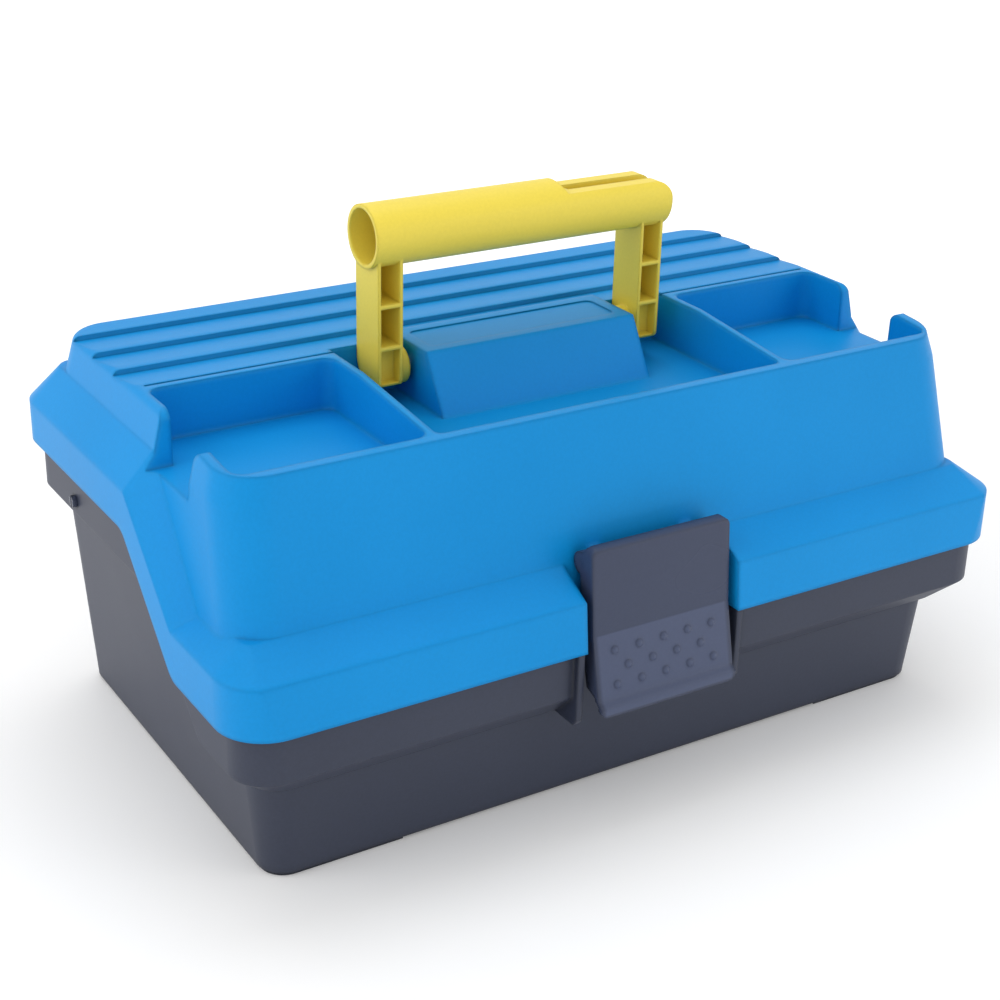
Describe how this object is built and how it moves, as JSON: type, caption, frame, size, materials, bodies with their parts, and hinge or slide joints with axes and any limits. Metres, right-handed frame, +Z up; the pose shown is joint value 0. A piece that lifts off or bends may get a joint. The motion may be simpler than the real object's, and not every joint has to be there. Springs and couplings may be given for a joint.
{
  "type": "cantilever tackle box",
  "caption": "Lidded plastic tackle box: trays on parallel arms rise and fan out as the lid opens, open compartments on top, folding handle and a front latch.",
  "frame": {"origin": "On the floor under the middle of the closed box with its handle up", "axes": "+X to the right along the box's length, +Y to the rear where the lid is hinged, +Z up"},
  "size_m": [0.33, 0.211, 0.2051],
  "materials": {
    "blue_plastic": "satin, fine moulded grain",
    "slate_plastic": "satin, fine moulded grain",
    "slate_gloss_plastic": "semi-gloss",
    "yellow_plastic": "satin",
    "tray_plastic": "satin, a guess as the trays are hidden",
    "divider_plastic": "satin, a guess",
    "steel": "zinc plated"
  },
  "bodies": {
    "base": {"base": "slate_plastic", "arm_studs": "slate_gloss_plastic", "hinge_pins": "steel"},
    "lid": {"lid": "blue_plastic", "lid_arm_left": "steel", "lid_arm_right": "steel", "lid_arm_screws": "steel", "latch_pin": "steel"},
    "handle": {"handle": "yellow_plastic", "handle_pins": "steel"},
    "latch": {"latch": "slate_gloss_plastic"},
    "front_arm_left": {"front_arm_left": "steel"},
    "front_arm_right": {"front_arm_right": "steel"},
    "tray_bottom": {"tray_bottom": "tray_plastic", "rear_rivets_bottom": "steel", "front_rivets_bottom": "steel", "dividers_bottom": "divider_plastic"},
    "tray_middle": {"tray_middle": "tray_plastic", "rear_rivets_middle": "steel", "front_rivets_middle": "steel", "dividers_middle": "divider_plastic"},
    "tray_top": {"tray_top": "tray_plastic", "rear_rivets_top": "steel", "front_rivets_top": "steel", "dividers_top": "divider_plastic"}
  },
  "joints": [
    {"name": "lid_hinge", "type": "hinge", "parent": "base", "child": "lid", "pos_m": [0, 0.101, 0.103], "axis": [-1, 0, 0], "range_deg": [0, 105]},
    {"name": "tray_bottom_link", "type": "hinge", "parent": "lid", "child": "tray_bottom", "pos_m": [0, 0.0662, 0.066], "axis": [-1, 0, 0], "range_deg": [-105, 0]},
    {"name": "tray_middle_link", "type": "hinge", "parent": "lid", "child": "tray_middle", "pos_m": [0, 0.0336, 0.091], "axis": [-1, 0, 0], "range_deg": [-105, 0]},
    {"name": "tray_top_link", "type": "hinge", "parent": "lid", "child": "tray_top", "pos_m": [0, 0.001, 0.116], "axis": [-1, 0, 0], "range_deg": [-105, 0]},
    {"name": "front_arm_left_pivot", "type": "hinge", "parent": "base", "child": "front_arm_left", "pos_m": [-0.1455, 0.051, 0.094], "axis": [-1, 0, 0], "range_deg": [0, 105]},
    {"name": "front_arm_right_pivot", "type": "hinge", "parent": "base", "child": "front_arm_right", "pos_m": [0.1455, 0.051, 0.094], "axis": [-1, 0, 0], "range_deg": [0, 105]},
    {"name": "handle_fold", "type": "hinge", "parent": "lid", "child": "handle", "pos_m": [0, 0.0065, 0.143], "axis": [1, 0, 0], "range_deg": [0, 90]},
    {"name": "latch_flip", "type": "hinge", "parent": "lid", "child": "latch", "pos_m": [0, -0.088, 0.097], "axis": [-1, 0, 0], "range_deg": [0, 75]}
  ],
  "couplings": [
    {"joint": "tray_bottom_link", "follows": "lid_hinge", "ratio": -1},
    {"joint": "tray_middle_link", "follows": "lid_hinge", "ratio": -1},
    {"joint": "tray_top_link", "follows": "lid_hinge", "ratio": -1},
    {"joint": "front_arm_left_pivot", "follows": "lid_hinge", "ratio": 1},
    {"joint": "front_arm_right_pivot", "follows": "lid_hinge", "ratio": 1}
  ]
}
